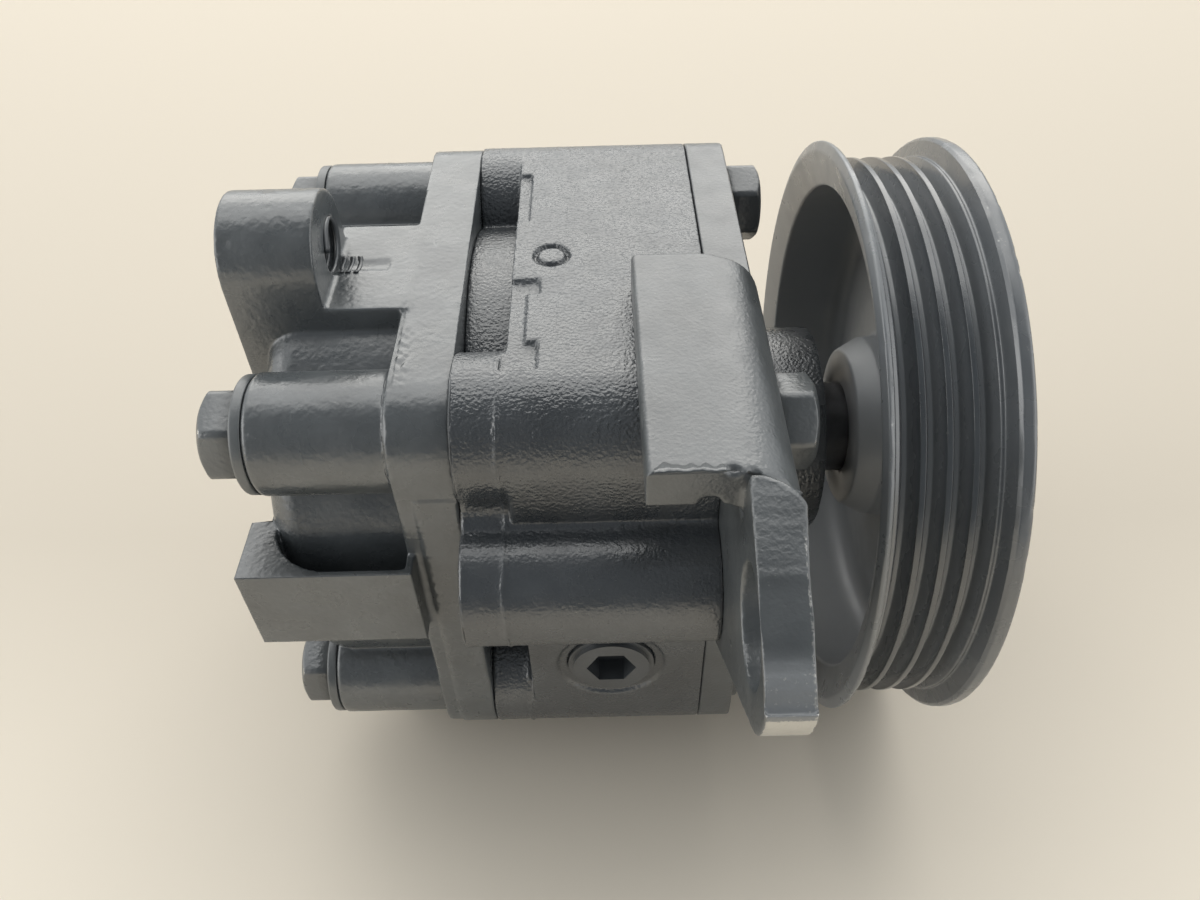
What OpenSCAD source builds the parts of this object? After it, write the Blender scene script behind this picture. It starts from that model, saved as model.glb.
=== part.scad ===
// Vane-type power steering pump with a ribbed belt pulley and a bent plate bracket.
// The shaft lies along X, the origin is on the shaft axis in the belt's centre plane,
// and Z points up through the pump's flat upper face.

/* [Shaft line] */
// Distance from the belt centre plane back to the housing's front face
belt_to_face = 30.5; // [29:0.1:33]
// Length of the housing from its front face to the cover joint
housing_len = 35.4; // [34.5:0.1:40]
// Length of the cover's bolt columns behind the joint
column_len = 27.4; // [26:0.1:31]
// Half the distance between neighbouring bolt centres
bolt_half = 28.9; // [28.5:0.1:31]
// Radius of the drive shaft in its bushings
shaft_r = 8; // [7.2:0.1:8.4]
// Radial running clearance of the shaft and the valve spool
run_gap = 0.04; // [0.02:0.01:0.08]
// Clearance around pieces that lie loosely in their seats
loose_gap = 0.1; // [0.06:0.01:0.2]

/* [Housing] */
// Radius of the castings' corners about each bolt
corner_r = 10.6; // [10.2:0.1:12]
// Width of the cast slots beside the cover joint
slot_w = 7.1; // [5:0.1:9]
// Radius of the cavity that holds the pumping set
cavity_r = 31; // [30:0.1:31.4]
// Wall of the barrel around that cavity, seen in the slots
barrel_wall = 5.5; // [5.1:0.1:6]
// Radius of the shaft nose
nose_r = 18; // [17:0.1:20]
// Length of the shaft nose ahead of the front face
nose_len = 21; // [20:0.1:24]
// Radius of the valve bore
valve_r = 6; // [5:0.1:6.6]
// Wall of the valve boss around its bore
valve_wall = 3.3; // [2.8:0.1:4]
// Distance of the valve bore's centre outside the near flat
valve_out = 1.8; // [0.5:0.1:3]
// Height of the valve bore above the shaft axis
valve_z = 10.9; // [9:0.1:12]
// Distance of the side plug behind the front face
plug_back = 15.1; // [13:0.1:17]
// Depth of the side plug's axis below the shaft axis
plug_z = 14.9; // [13:0.1:17]
// Thread radius of the side plug
plug_r = 7; // [6:0.1:7.5]
// Thread depth of the side plug
plug_len = 6; // [5:0.1:7]
// Thread radius of the outlet port
outlet_r = 7.2; // [6.5:0.1:8]
// Height of the outlet boss on the far flat
outlet_rise = 4; // [3:0.1:6]
// Depth of the shallow parting steps on the upper flat
step_d = 0.7; // [0.4:0.1:1]
// Outer radius of the round mark's groove on the upper flat
mark_r = 2.8; // [2.2:0.1:3.4]

/* [Cover] */
// Radius of the cover's bolt columns
column_r = 8.6; // [8.4:0.1:9.4]
// Thickness of the cover's joint flange
flange_t = 8.5; // [8:0.1:10]
// Radius of the cover's round core
core_r = 37.4; // [36:0.1:38.2]
// Distance the core stands out behind the bolt seats
core_over = 2.1; // [1:0.1:4]
// Half width of the upper mounting lug
lug_half = 11.1; // [9:0.1:12]
// Radius of the upper mounting lug's round top
lug_r = 9.2; // [8.8:0.1:10]
// Sideways offset of the upper mounting lug
lug_shift = 2.8; // [1:0.1:4]
// Height of the lug's hole above the upper flat
lug_rise = 2.8; // [2:0.1:4]
// Length of the upper mounting lug along the shaft
lug_len = 13.5; // [11:0.1:15]
// Distance the lugs stand out behind the bolt seats
lug_over = 5.6; // [4:0.1:7]
// Wall radius of the lug's threaded hole
lug_hole_r = 4.25; // [3.4:0.05:5]
// Height of the lower side lug
side_lug_h = 16; // [13:0.1:18]
// Top of the lower side lug above the shaft axis
side_lug_z = 13.5; // [11:0.1:15]
// Distance the lower side lug stands out from the near flat
side_lug_out = 2.5; // [1.5:0.1:4]
// Radius of the suction port
suction_r = 9; // [8:0.1:10]
// Half spacing of the suction flange's screw holes
suction_half = 18; // [17.5:0.1:20]
// Wall radius of the suction flange's threaded holes
suction_screw_r = 2.5; // [2.1:0.1:3]

/* [Fasteners] */
// Radius of the housing bolts
bolt_r = 4; // [3.5:0.1:4.4]
// Width across flats of the bolt heads
head_af = 12; // [11:0.1:13]
// Height of the cover bolts' heads
head_h = 5.3; // [4.5:0.1:7]
// Height of the bracket bolts' heads
front_head_h = 6.3; // [5:0.1:7]
// Outer radius of the bolt washers
washer_r = 8.4; // [8:0.1:9]
// Thickness of the bolt washers
washer_t = 1.6; // [1.2:0.1:2.4]
// Thread length of the cover bolts in the housing
rear_grip = 17; // [14:0.1:18]
// Thread length of the bracket bolts in the housing
front_grip = 13; // [10:0.1:14]

/* [Bracket] */
// Thickness of the bracket plate
plate_t = 5.5; // [4.5:0.1:6]
// Outer radius of the bend between plate and tab
bend_r = 8.6; // [8:0.1:8.8]
// Length of the bent tab behind the plate's front face
tab_len = 16.5; // [14:0.1:20]
// Near edge of the bent tab beyond the near flat
tab_out = 14.1; // [12:0.1:16]
// Width of the bent tab
tab_w = 42.3; // [38:0.1:44]
// Distance of the ear's hole beyond the near flat
ear_out = 25; // [24:0.1:28]
// Height of the ear's hole above the shaft axis
ear_z = 32; // [30:0.1:33]
// Radius of the ear
ear_r = 11.6; // [11:0.1:12.4]
// Radius of the ear's hole
ear_hole_r = 7; // [6:0.1:7.6]
// Distance from the ear's hole to the straight cut across its upper corner
ear_cut = 8.2; // [8:0.1:9]
// Slope of the ear's lower edge and of the upper cut in degrees
ear_slope = 40; // [36:1:44]

/* [Pulley] */
// Pitch of the belt grooves
groove_pitch = 3.56; // [3:0.02:4]
// Number of belt grooves
groove_count = 4; // [3:1:4]
// Depth of the belt grooves
groove_depth = 2.7; // [2:0.1:2.8]
// Radius of the pulley over its rib crests
crest_r = 46.6; // [46:0.1:48]
// Height of the pulley's flanges over its rib crests
flange_rise = 2.9; // [2:0.1:3.5]
// Thickness of the rim under the grooves
rim_wall = 1.7; // [1.4:0.1:2]
// Thickness of the pulley's web
web_t = 3; // [2.5:0.1:4]
// Distance that the web stands out beyond the hub's outer face at the rim
web_out = 3.6; // [3:0.1:3.8]
// Radius of the pulley's hub
hub_r = 16; // [14:0.1:17]
// Length of the pulley's hub
hub_len = 10; // [9:0.1:12]
// Distance of the hub's outer face from the belt centre plane
hub_face = 6.6; // [6:0.1:8]
// Radius of the shaft end thread
thread_r = 6; // [5:0.1:6.4]
// Width across flats of the pulley nut
nut_af = 19; // [17:0.1:22]
// Height of the pulley nut
nut_h = 9; // [7:0.1:10]

/* [Pumping set] */
// Width of the cam ring and rotor
cam_w = 16; // [15:0.1:16.4]
// Thickness of each side plate
plate_w = 6; // [5.6:0.1:6.4]
// Radius of the rotor
rotor_r = 20; // [19:0.1:20.4]
// Smallest gap between the rotor and the cam ring
cam_gap = 0.6; // [0.5:0.05:0.8]
// Stretch of the cam ring's oval to each side
cam_shift = 1.2; // [0.6:0.1:1.4]
// Number of vanes
vane_count = 10; // [8:1:10]
// Thickness of a vane
vane_t = 1.8; // [1.4:0.1:2]
// Radius of the dowel pins
dowel_r = 2.5; // [2:0.1:2.8]
// Length of the valve spool
spool_len = 12; // [10:0.1:13]
// Travel of the valve spool
spool_travel = 4; // [3:0.1:5]
// Wire radius of the valve spring
wire_r = 0.7; // [0.5:0.05:0.8]

/* [Hidden] */
$fn = 72;

black_cast = [0.13, 0.14, 0.15];
black_satin = [0.17, 0.18, 0.19];
bare_steel = [0.62, 0.63, 0.65];
bronze = [0.66, 0.50, 0.28];
seal_black = [0.05, 0.05, 0.05];

eps = 0.01;
x_face = -belt_to_face;
x_joint = x_face - housing_len;
x_seat = x_joint - column_len;
x_slot = x_joint + slot_w;
x_nose = x_face + nose_len;
x_plate = x_face + plate_t;
x_flange = x_joint - flange_t;
x_core = x_seat - core_over;
x_lug = x_seat - lug_over;
x_lug_front = x_lug + lug_len;
body_half = bolt_half + corner_r;
barrel_r = cavity_r + barrel_wall;
corners = [for (sy = [-1, 1], sz = [-1, 1]) [sy * bolt_half, sz * bolt_half]];
near_top = [-bolt_half, bolt_half];

// Pumping set, from the joint forwards and backwards
x_cam = x_joint + cam_w;
x_cavity = x_cam + plate_w;
x_recess = x_joint - plate_w;
cam_r = rotor_r + cam_gap;
set_r = cavity_r - loose_gap;
dowel_ring = (set_r + cam_r) / 2;
dowel_sink = 3;
port_inset = 0.8;
port_ring = rotor_r - port_inset;
port_r = 2.2;
bush_wall = 2;
bush_r = shaft_r + bush_wall;
bush_len = 11;
groove_ring = [15.5, 22.5];
groove_ring_d = 5;
side_gap = 0.1;
vane_root = 0.62 * rotor_r;
seal_wall = 5;
seal_r = shaft_r + seal_wall;
seal_w = 7;
seal_sink = 0.8;
x_seal = x_nose - seal_w - seal_sink;
o_wire = 0.9;
cover_o_out = 0.8;
cover_o_r = (cavity_r + barrel_r) / 2 + cover_o_out;
plate_o_out = 3.5;
plate_o_r = bush_r + plate_o_out;
snap_w = 1.2;
snap_d = 0.5;
x_shaft_rear = x_recess - bush_len;

// Steps and round mark on the upper flat, from the slot forwards and across
step_run = 2.5;
step_lip = 1.9;
step_far_lip = [-12, -8.5];
step_near_lip = 5.9;
far_step = [7.5, 22];
far_step_run = 2.1;
mark_at = [5.7, -2.4];
mark_w = 0.75;
mark_d = 0.9;

// Bolts
head_turn = 15;
near_head_turn = 45;
crown_share = 0.45;

// Valve in the near boss
valve_y = -body_half - valve_out;
boss_r = valve_r + valve_wall;
boss_blend = 3;
valve_back = 4.5;
x_valve = x_joint + valve_back;
valve_shoulder = 1;
valve_plug_r = valve_r + valve_shoulder;
valve_plug_len = 7;
valve_plug_sink = 0.8;
x_valve_plug = x_face - valve_plug_sink - valve_plug_len;
valve_o_wire = 0.75;
spool_rest = 0.4;
x_spool = x_valve + spool_rest;
x_spring = x_spool + spool_len - spool_travel / 2;
spring_gap = 0.1;

// Ports
outlet_back = 14;
outlet_x = x_face - outlet_back;
outlet_z = 10;
outlet_depth = 11;
outlet_wall = 4.5;
gallery_r = 2.5;
gallery_back = 4;
side_plug_x = x_face - plug_back;
plug_rim = 1.8;
plug_rim_d = 0.6;
suction_clear = 1;
suction_wall = 4;
suction_x = x_recess - suction_r - suction_clear;
rest_z = -(crest_r + flange_rise);
screw_wall = 5;
screw_boss_r = suction_screw_r + screw_wall;
suction_screw_len = 9;

// Cover
flange_inset = 0.3;
near_lip = 0.6;
pad_drop = 0.7;
side_lug_back = 0.5;
side_lug_wall = 1;
pocket_r = 9;
pocket_back = 2;
core_soft = 5;
column_soft = 0.5;
run_out_len = 8;
run_out = 0.4;

// Bracket in the plate's own plane
tab_lift = 0.2;
tab_top = body_half + plate_t + tab_lift;
tab_near = -body_half - tab_out;
ear_y = -body_half - ear_out;
bend_z = tab_top - bend_r;
bend_out = 0.8;
bend_x = x_plate + bend_out - bend_r;
ear_foot = 3;
ear_rise = 4.5;
ear_soft = 4;

// Pulley across the belt
groove_half = groove_pitch * 0.39;
floor_half = groove_pitch * 0.11;
floor_r = crest_r - groove_depth;
rim_r = floor_r - rim_wall;
flange_r = crest_r + flange_rise;
belt_half = groove_pitch * groove_count / 2;
flank = flange_rise * 0.36;
bead_r = 1.4;
edge_r = 2.4;
x_hub = hub_face - hub_len;
seat_r = shaft_r - 0.5;
key_w = 4;
key_in = 4;
key_out = 1.5;
key_inset = 1;
lock_t = 1.6;
thread_over = 1.2;

// Helpers

// Extrudes a Y-Z outline along X
module along_x(x0, x1) {
    translate([x0, 0, 0]) rotate([90, 0, 90]) linear_extrude(x1 - x0) children();
}

// Extrudes an X-Z outline along Y
module along_y(y0, y1) {
    translate([0, y1, 0]) rotate([90, 0, 0]) linear_extrude(y1 - y0) children();
}

// Round bar along X at a given place
module rod(x0, x1, r, at = [0, 0]) {
    translate([x0, at[0], at[1]]) rotate([0, 90, 0]) cylinder(h = x1 - x0, r = r);
}

// Ring along X
module tube(x0, x1, r_out, r_in) {
    difference() {
        rod(x0, x1, r_out);
        rod(x0 - 1, x1 + 1, r_in);
    }
}

// Turns an outline of radius and X about the shaft line or a parallel line
module turned(at = [0, 0]) {
    translate([0, at[0], at[1]]) rotate([0, 90, 0]) rotate_extrude() children();
}

// Ring of round section about the X direction
module o_ring(x, ring_r, wire, at = [0, 0]) {
    turned(at) translate([ring_r, x]) circle(wire);
}

// Flat outline of both castings: a square with its corners rounded about the bolts
module body_outline() {
    for (c = corners) translate(c) circle(corner_r);
    square([2 * body_half, 2 * bolt_half], center = true);
    square([2 * bolt_half, 2 * body_half], center = true);
}

// Box from one corner to the other
module block(a, b) {
    translate(a) cube(b - a);
}

// Hexagonal head with a chamfered outer end; the outer end lies at x1
module hex_head(x0, x1, af, turn, at) {
    outer = max(x0, x1);
    inner = min(x0, x1);
    across = af / sqrt(3);
    beyond = across + 1;
    crown = af * crown_share;
    drop = (beyond - crown) * tan(30);
    intersection() {
        translate([0, at[0], at[1]]) along_x(inner, outer) rotate(turn) circle(across, $fn = 6);
        if (x1 > x0)
            turned(at) polygon([[0, inner - 1], [beyond, inner - 1], [beyond, outer - drop],
                [crown, outer + eps], [0, outer + eps]]);
        else
            turned(at) polygon([[0, outer + 1], [beyond, outer + 1], [beyond, inner + drop],
                [crown, inner - eps], [0, inner - eps]]);
    }
}

// Concave blend of radius f between two round outlines
module blend(c1, r1, c2, r2, f) {
    d = norm(c2 - c1);
    a = r1 + f;
    b = r2 + f;
    along = (a * a - b * b + d * d) / (2 * d);
    u = (c2 - c1) / d;
    v = [u[1], -u[0]];
    cf = c1 + along * u + sqrt(max(0, a * a - along * along)) * v;
    difference() {
        polygon([c1, cf, c2]);
        translate(cf) circle(f);
    }
}

// Castings

// Slot beside the joint between two columns, down to the barrel
module joint_slot(turn, from_side, to_side) {
    rotate([turn, 0, 0]) difference() {
        block([x_joint, from_side, 0], [x_slot, to_side, body_half + 1]);
        rod(x_joint - 1, x_slot + 1, barrel_r);
        for (c = corners) rod(x_joint - 1, x_slot + 1, corner_r, c);
    }
}

// Shallow parting steps and the round mark on the upper flat
module upper_flat_marks() {
    top = body_half - step_d;
    up = body_half + 1;
    x_step = x_slot + step_run;
    block([x_slot - 1, -bolt_half, top], [x_step, step_far_lip[1], up]);
    block([x_step - 1, step_far_lip[0], top], [x_step + step_lip, step_far_lip[1], up]);
    block([x_step - 1, -bolt_half, top], [x_step + step_lip, -bolt_half + step_near_lip, up]);
    block([x_slot - 1, far_step[0], top], [x_slot + far_step_run, far_step[1], up]);
    translate([x_slot + mark_at[0], mark_at[1], body_half - mark_d]) difference() {
        cylinder(h = 2 * mark_d, r = mark_r);
        translate([0, 0, -1]) cylinder(h = 2 * mark_d + 2, r = mark_r - mark_w);
    }
}

module valve_boss_outline() {
    boss = [valve_y, valve_z];
    translate(boss) circle(boss_r);
    translate([valve_y, valve_z - boss_r]) square([-valve_y - bolt_half, 2 * boss_r]);
    blend(near_top, corner_r, boss, boss_r, boss_blend);
}

// Rounds the housing's front upper edge to clear the inside of the bracket's bend
module bend_relief() {
    along_y(tab_near - 1, tab_near + tab_w + 1) translate([bend_x, bend_z]) difference() {
        square(bend_r);
        circle(bend_r - plate_t - loose_gap);
    }
}

module front_housing() {
    color(black_cast) difference() {
        union() {
            along_x(x_joint, x_face) body_outline();
            along_x(x_joint, x_face) valve_boss_outline();
            rod(x_face - 1, x_nose, nose_r);
            translate([outlet_x, body_half - 1, outlet_z]) rotate([-90, 0, 0])
                cylinder(h = outlet_rise + 1, r = outlet_r + outlet_wall);
        }
        joint_slot(0, -bolt_half, bolt_half);
        joint_slot(-90, -bolt_half, bolt_half);
        joint_slot(180, -bolt_half, bolt_half);
        difference() {
            joint_slot(90, -bolt_half, bolt_half);
            along_x(x_joint - 1, x_slot + 1) valve_boss_outline();
        }
        upper_flat_marks();
        bend_relief();
        rod(x_joint - 1, x_cavity, cavity_r);
        rod(x_cavity - 1, x_seal + 1, bush_r);
        rod(x_seal, x_nose + 1, seal_r);
        for (c = corners) {
            rod(x_joint - 1, x_joint + rear_grip + 1, bolt_r + loose_gap / 2, c);
            rod(x_face - front_grip - 1, x_face + 1, bolt_r + loose_gap / 2, c);
        }
        for (s = [-1, 1]) rod(x_cavity - 1, x_cavity + dowel_sink, dowel_r + loose_gap, [0, s * dowel_ring]);
        rod(x_valve, x_face, valve_r, [valve_y, valve_z]);
        rod(x_valve_plug, x_face + 1, valve_plug_r, [valve_y, valve_z]);
        translate([x_cam - gallery_back, valve_y, valve_z]) rotate([-90, 0, 0])
            cylinder(h = body_half / 2, r = gallery_r);
        translate([side_plug_x, -body_half - 1, -plug_z]) rotate([-90, 0, 0]) {
            cylinder(h = plug_len + 2, r = plug_r);
            cylinder(h = plug_rim_d + 1, r = plug_r + plug_rim);
        }
        translate([outlet_x, body_half + outlet_rise + 1, outlet_z]) rotate([90, 0, 0]) {
            cylinder(h = outlet_depth + 1, r = outlet_r);
            cylinder(h = outlet_rise + 1 + body_half - cavity_r + gallery_r, r = gallery_r);
        }
    }
}

// Bolt column with a softened rear edge
module column(at) {
    turned(at) polygon([[0, x_joint], [0, x_seat], [column_r - column_soft, x_seat],
        [column_r, x_seat + column_soft], [column_r, x_joint]]);
}

module suction_flange() {
    translate([suction_x, 0, rest_z]) {
        cylinder(h = -rest_z - bolt_half, r = suction_r + suction_wall);
        for (s = [-1, 1]) translate([0, s * suction_half, 0])
            cylinder(h = -rest_z - bolt_half, r = screw_boss_r);
        translate([-screw_boss_r, -suction_half, 0])
            cube([2 * screw_boss_r, 2 * suction_half, -rest_z - bolt_half]);
    }
}

module upper_lug_outline() {
    near = -lug_shift - lug_half;
    translate([near + lug_r, body_half + lug_rise]) circle(lug_r);
    translate([near, 0]) square([2 * lug_r, body_half + lug_rise]);
}

// Joint flange, drawn in towards the column at its near upper corner
module flange_outline() {
    wide = corner_r - flange_inset;
    near = column_r + near_lip;
    b = bolt_half;
    for (c = corners) translate(c) circle(c == near_top ? near : wide);
    polygon([[-b, b + near], [b, b + wide], [b + wide, b], [b + wide, -b], [b, -b - wide], [-b, -b - wide],
        [-b - wide, -b], [-b - near, b]]);
}

module rear_cover() {
    soft = core_soft;
    side_y = -body_half - side_lug_out;
    pocket_w = pocket_r + pocket_back;
    pocket_y = side_y + side_lug_wall + pocket_r;
    color(black_satin) difference() {
        union() {
            along_x(x_flange, x_joint) flange_outline();
            for (c = corners) column(c);
            turned() polygon([[0, x_joint], [0, x_core], [core_r - soft, x_core],
                [core_r - soft * 0.3, x_core + soft * 0.3], [core_r, x_core + soft], [core_r, x_joint]]);
            along_x(x_lug, x_lug_front) upper_lug_outline();
            along_x(x_lug_front - 1, x_flange + 1) translate([-lug_shift - lug_half, 0])
                square([2 * lug_half, body_half - pad_drop]);
            difference() {
                block([x_lug + side_lug_back, side_y, side_lug_z - side_lug_h],
                    [x_flange + 1, -core_r / 2, side_lug_z]);
                translate([x_flange - pocket_w, pocket_y, side_lug_z - side_lug_h / 2]) {
                    cylinder(h = side_lug_h, r = pocket_r);
                    translate([0, -pocket_r, 0]) cube([pocket_w, core_r, side_lug_h]);
                    translate([-pocket_r, 0, 0]) cube([pocket_r + pocket_w, core_r, side_lug_h]);
                }
            }
            suction_flange();
        }
        rod(x_lug - 1, x_lug_front, lug_hole_r, [-lug_shift, body_half + lug_rise]);
        rod(x_lug_front - 1, x_lug_front + run_out_len, lug_hole_r - run_out, [-lug_shift, body_half + lug_rise]);
        for (c = corners) {
            rod(x_seat - 1, x_joint + 1, bolt_r + 3 * loose_gap, c);
            rod(x_lug - head_h, x_seat, washer_r + loose_gap, c);
        }
        rod(x_recess, x_joint + 1, cavity_r);
        rod(x_shaft_rear - 2, x_joint, bush_r);
        turned() translate([groove_ring[0], x_recess - groove_ring_d])
            square([groove_ring[1] - groove_ring[0], groove_ring_d + 1]);
        turned() translate([cover_o_r - o_wire - loose_gap, x_joint - 2 * o_wire])
            square([2 * (o_wire + loose_gap), 2 * o_wire + 1]);
        translate([suction_x, 0, rest_z - 1]) {
            cylinder(h = suction_wall - rest_z - groove_ring[1], r = suction_r);
            for (s = [-1, 1]) translate([0, s * suction_half, 0])
                cylinder(h = suction_screw_len + 1, r = suction_screw_r);
        }
    }
}

// Fasteners

module cover_bolts() {
    color(black_satin) for (c = corners) {
        hex_head(x_seat - washer_t, x_seat - washer_t - head_h, head_af, head_turn, c);
        rod(x_seat - washer_t - head_h / 2, x_joint + rear_grip, bolt_r, c);
    }
}

module cover_washers() {
    color(black_satin) for (c = corners) difference() {
        rod(x_seat - washer_t, x_seat, washer_r, c);
        rod(x_seat - washer_t - 1, x_seat + 1, bolt_r + loose_gap, c);
    }
}

module bracket_bolts() {
    color(black_satin) for (c = corners) {
        hex_head(x_plate + washer_t, x_plate + washer_t + front_head_h, head_af,
            c == near_top ? near_head_turn : head_turn, c);
        rod(x_face - front_grip, x_plate + washer_t + front_head_h / 2, bolt_r, c);
    }
}

module bracket_washers() {
    color(black_satin) for (c = corners) difference() {
        rod(x_plate, x_plate + washer_t, washer_r - 1, c);
        rod(x_plate - 1, x_plate + washer_t + 1, bolt_r + loose_gap, c);
    }
}

// Bracket

// Arm from the plate to the ear, with a sloping lower edge and a straight cut across its upper corner
module sharp_arm() {
    foot = [-sin(ear_slope), -cos(ear_slope)] * ear_r + [ear_y, ear_z];
    root_y = -bolt_half;
    root_z = foot[1] - (root_y - foot[0]) * tan(ear_slope);
    under_tab = tab_near + ear_soft;
    difference() {
        union() {
            translate([ear_y, ear_z]) circle(ear_r);
            polygon([[ear_y, ear_z + ear_r], foot, [root_y, root_z], [root_y, bend_z], [under_tab, bend_z],
                [under_tab, bend_z + ear_rise], [ear_y + ear_foot, ear_z + ear_r]]);
        }
        translate([ear_y, ear_z]) rotate(ear_slope) translate([-3 * ear_r, ear_cut])
            square([6 * ear_r, 2 * ear_r]);
    }
}

// The same arm with its upper corner rounded
module arm_outline() {
    offset(r = ear_soft) offset(delta = -ear_soft) sharp_arm();
    intersection() {
        sharp_arm();
        translate([ear_y - 2 * ear_r, ear_z - 2 * ear_r]) square([3 * ear_r, 2 * ear_r + ear_foot]);
    }
}

// Side view of the bent tab
module tab_profile() {
    bend = [bend_x, bend_z];
    intersection() {
        translate(bend) difference() {
            circle(bend_r);
            circle(bend_r - plate_t);
        }
        translate(bend) square(bend_r + 1);
    }
    translate([x_plate - tab_len, tab_top - plate_t]) square([tab_len - bend_r + bend_out, plate_t]);
    translate([x_face, bend_z - 2]) square([plate_t, 2]);
}

module mounting_bracket() {
    color(black_satin) difference() {
        union() {
            along_x(x_face, x_plate) difference() {
                union() {
                    body_outline();
                    arm_outline();
                }
                translate([tab_near - eps, bend_z]) square([tab_w + eps, 3 * bend_r]);
            }
            along_y(tab_near, tab_near + tab_w) tab_profile();
        }
        rod(x_face - 1, x_plate + 1, nose_r + 1);
        rod(x_face - 1, x_plate + 1, ear_hole_r, [ear_y, ear_z]);
        for (c = corners) rod(x_face - 1, x_plate + 1, bolt_r + 3 * loose_gap, c);
    }
}

// Pumping set

module plate_ports(x0, x1) {
    for (a = [45:90:315]) rod(x0 - 1, x1 + 1, port_r, port_ring * [cos(a), sin(a)]);
}

module dowel_holes(x0, x1) {
    for (s = [-1, 1]) rod(x0 - 1, x1 + 1, dowel_r + loose_gap, [0, s * dowel_ring]);
}

module cam_ring() {
    color(bare_steel) difference() {
        rod(x_joint, x_cam, set_r);
        along_x(x_joint - 1, x_cam + 1) {
            for (s = [-1, 1]) translate([s * cam_shift, 0]) circle(cam_r);
            square([2 * cam_shift, 2 * cam_r], center = true);
        }
        dowel_holes(x_joint, x_cam);
    }
}

module front_side_plate() {
    color(bare_steel) difference() {
        rod(x_cam, x_cavity, set_r);
        rod(x_cam - 1, x_cavity + 1, bush_r - 1);
        turned() translate([plate_o_r - o_wire - loose_gap, x_cavity - 2 * o_wire])
            square([2 * (o_wire + loose_gap), 2 * o_wire + 1]);
        turned() translate([set_r - 1.5, x_cavity - plate_w / 2]) square([3, plate_w]);
        plate_ports(x_cam, x_cavity);
        dowel_holes(x_cam, x_cavity);
    }
}

module rear_side_plate() {
    color(bare_steel) difference() {
        rod(x_recess, x_joint, set_r);
        rod(x_recess - 1, x_joint + 1, bush_r + 1);
        plate_ports(x_recess, x_joint);
        dowel_holes(x_recess, x_joint);
    }
}

module dowel_pins() {
    color(bare_steel) for (s = [-1, 1])
        rod(x_recess + 1, x_cavity + dowel_sink - 0.5, dowel_r, [0, s * dowel_ring]);
}

module front_bushing() {
    color(bronze) tube(x_cavity, x_seal - 2, bush_r, shaft_r + run_gap);
}

module rear_bushing() {
    color(bronze) tube(x_shaft_rear, x_recess, bush_r, shaft_r + run_gap);
}

module oil_seal() {
    color(seal_black) tube(x_seal, x_seal + seal_w, seal_r, shaft_r + run_gap);
}

module cover_o_ring() {
    color(seal_black) o_ring(x_joint - o_wire, cover_o_r, o_wire);
}

module side_plate_o_ring() {
    color(seal_black) o_ring(x_cavity - o_wire, plate_o_r, o_wire);
}

module rotor() {
    color(bare_steel) difference() {
        rod(x_joint + side_gap, x_cam - side_gap, rotor_r);
        rod(x_joint - 1, x_cam + 1, shaft_r);
        for (i = [0:vane_count - 1]) rotate([i * 360 / vane_count, 0, 0])
            block([x_joint - 1, -vane_t / 2 - loose_gap / 2, vane_root],
                [x_cam + 1, vane_t / 2 + loose_gap / 2, rotor_r + 1]);
    }
}

module vanes() {
    tip_r = rotor_r + cam_gap / 2;
    color(bare_steel) for (i = [0:vane_count - 1]) rotate([i * 360 / vane_count, 0, 0]) intersection() {
        block([x_joint + side_gap, -vane_t / 2, vane_root + loose_gap],
            [x_cam - side_gap, vane_t / 2, rotor_r + cam_gap]);
        rod(x_joint, x_cam, tip_r);
    }
}

module rotor_snap_ring() {
    color(bare_steel) tube(x_joint + side_gap - snap_w, x_joint + side_gap, bush_r - snap_d, shaft_r - snap_d);
}

// Valve and plugs

module hex_socket(x0, x1, af) {
    along_x(x0, x1) circle(af / sqrt(3), $fn = 6);
}

module valve_plug() {
    color(bare_steel) translate([0, valve_y, valve_z]) difference() {
        rod(x_valve_plug, x_valve_plug + valve_plug_len, valve_plug_r);
        hex_socket(x_valve_plug + valve_plug_len / 2, x_face, valve_plug_r);
        turned() translate([valve_plug_r - 2 * valve_o_wire - 2 * loose_gap, x_valve_plug + 1])
            square([3 * valve_o_wire, 2 * valve_o_wire + 2 * loose_gap]);
    }
}

module valve_plug_o_ring() {
    color(seal_black) o_ring(x_valve_plug + 1 + valve_o_wire + loose_gap,
        valve_plug_r - valve_o_wire - loose_gap, valve_o_wire, [valve_y, valve_z]);
}

module valve_spool() {
    land = valve_r - run_gap;
    neck = valve_r * 0.68;
    mid = x_spool + spool_len / 2;
    x1 = x_spool + spool_len;
    color(bare_steel) turned([valve_y, valve_z]) polygon([[0, x_spool], [neck * 0.6, x_spool],
        [neck * 0.6, x_spool + 1], [land, x_spool + 1], [land, mid - 2], [neck, mid - 1.5], [neck, mid + 1],
        [land, mid + 1.5], [land, x1], [valve_r * 0.75, x1], [valve_r * 0.75, x_spring], [0, x_spring]]);
}

// Helical spring as one swept tube of eight sides
module valve_spring() {
    turns = 6;
    per_turn = 18;
    sides = 8;
    coil_r = valve_r * 0.75 - wire_r - 0.25;
    x0 = x_spring + wire_r + spring_gap;
    x1 = x_valve_plug - wire_r - spring_gap;
    count = turns * per_turn;
    points = [for (i = [0:count], j = [0:sides - 1])
        let (a = i * 360 / per_turn, b = j * 360 / sides, r = coil_r + wire_r * cos(b))
        [x0 + (x1 - x0) * i / count + wire_r * sin(b), r * cos(a), r * sin(a)]];
    sides_list = [for (i = [0:count - 1], j = [0:sides - 1])
        let (k = (j + 1) % sides)
        [i * sides + j, i * sides + k, (i + 1) * sides + k, (i + 1) * sides + j]];
    first = [[for (j = [sides - 1:-1:0]) j]];
    last = [[for (j = [0:sides - 1]) count * sides + j]];
    color(bare_steel) translate([0, valve_y, valve_z])
        polyhedron(points, concat(sides_list, first, last), convexity = 10);
}

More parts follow.
